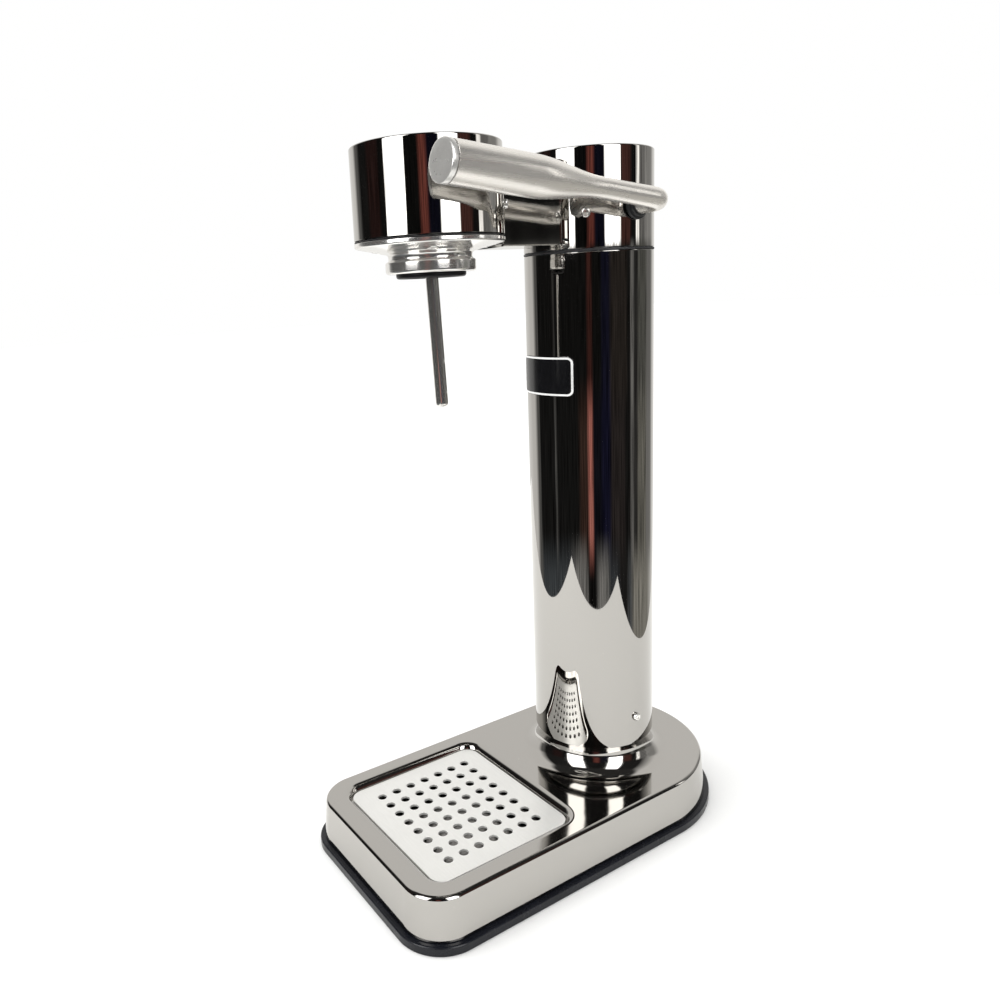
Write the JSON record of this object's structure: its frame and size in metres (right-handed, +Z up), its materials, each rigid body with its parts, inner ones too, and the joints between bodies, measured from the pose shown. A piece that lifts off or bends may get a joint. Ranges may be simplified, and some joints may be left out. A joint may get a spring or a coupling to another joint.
{
  "type": "soda carbonator",
  "caption": "Lever-operated soda carbonator: hollow column on a drip-tray base, twin-drum head with a filling nozzle and steel bottle collar, side lever and hidden gas cylinder.",
  "frame": {"origin": "middle of the footprint on the table, at the underside of the rubber rim", "axes": "+Z up; the front, with the drip tray and the nozzle, faces -Y; the lever is on +X"},
  "size_m": [0.1444, 0.262, 0.414],
  "materials": {
    "black_chrome": "mirror-polished dark chrome on steel",
    "polished_steel": "polished stainless steel",
    "brushed_steel": "fine turned and brushed stainless steel",
    "satin_steel": "bead-blasted satin steel",
    "cast_alloy": "as-cast",
    "spring_steel": "drawn wire",
    "brass": "machined",
    "rubber": "smooth dark rubber",
    "black_plastic": "moulded",
    "badge_black": "gloss enamel label with a pale border line, no lettering",
    "hose": "translucent pressure hose"
  },
  "bodies": {
    "housing": {"foot_rim": "rubber", "base_shell": "black_chrome", "base_neck": "black_chrome", "drip_pan": "black_chrome", "base_floor_plate": "black_plastic", "base_screw_1": "polished_steel", "base_screw_2": "polished_steel", "base_screw_3": "polished_steel", "base_screw_4": "polished_steel", "column_foot_ring": "black_plastic", "column_tube": "black_chrome", "column_screw_right": "polished_steel", "column_screw_left": "polished_steel", "front_badge": "badge_black", "column_gasket": "rubber", "column_top_ring": "cast_alloy", "head_frame": "cast_alloy", "rear_drum_shell": "black_chrome", "front_drum_shell": "black_chrome", "bridge_shell": "black_chrome", "head_screw_rear_right": "polished_steel", "head_screw_rear_left": "polished_steel", "head_screw_front_right": "polished_steel", "head_screw_front_left": "polished_steel", "front_gasket": "rubber", "bottle_flange": "polished_steel", "flange_screw_1": "polished_steel", "flange_screw_2": "polished_steel", "flange_screw_3": "polished_steel", "flange_screw_4": "polished_steel", "bottle_socket": "black_plastic", "bottle_seal": "rubber", "nozzle_holder": "black_plastic", "nozzle_tube": "polished_steel", "release_valve": "brass", "safety_valve": "brass", "gas_hose": "hose", "outlet_fitting": "brass", "valve_block": "brass", "block_screw_1": "polished_steel", "block_screw_2": "polished_steel", "block_screw_3": "polished_steel", "lever_bush": "black_plastic", "lever_return_spring": "spring_steel", "plunger_spring": "spring_steel"},
    "lever": {"lever_arm": "brushed_steel", "grip_end_cap": "brushed_steel", "lever_cam": "polished_steel", "shaft_circlip": "spring_steel"},
    "plunger": {"valve_plunger": "polished_steel"},
    "plate": {"drip_plate": "satin_steel"},
    "cylinder": {"gas_cylinder": "satin_steel", "cylinder_valve": "brass"}
  },
  "joints": [
    {"name": "lever_pull", "type": "hinge", "parent": "housing", "child": "lever", "pos_m": [0, 0.054, 0.3815], "axis": [1, 0, 0], "range_deg": [0, 38], "stiffness_Nm_per_rad": 2, "springref_deg": -20.05},
    {"name": "plunger_press", "type": "slide", "parent": "housing", "child": "plunger", "axis": [0, 0, -1], "range_m": [0, 0.0052], "deforming": ["plunger_spring"]},
    {"name": "drip_plate_lift", "type": "slide", "parent": "housing", "child": "plate", "axis": [0, 0, 1], "range_m": [0, 0.03]},
    {"name": "cylinder_unscrew", "type": "slide", "parent": "housing", "child": "cylinder", "axis": [0, 0, -1], "range_m": [0, 0.0125]}
  ],
  "couplings": [
    {"joint": "plunger_press", "follows": "lever_pull", "m_per_rad": 0.00754}
  ]
}
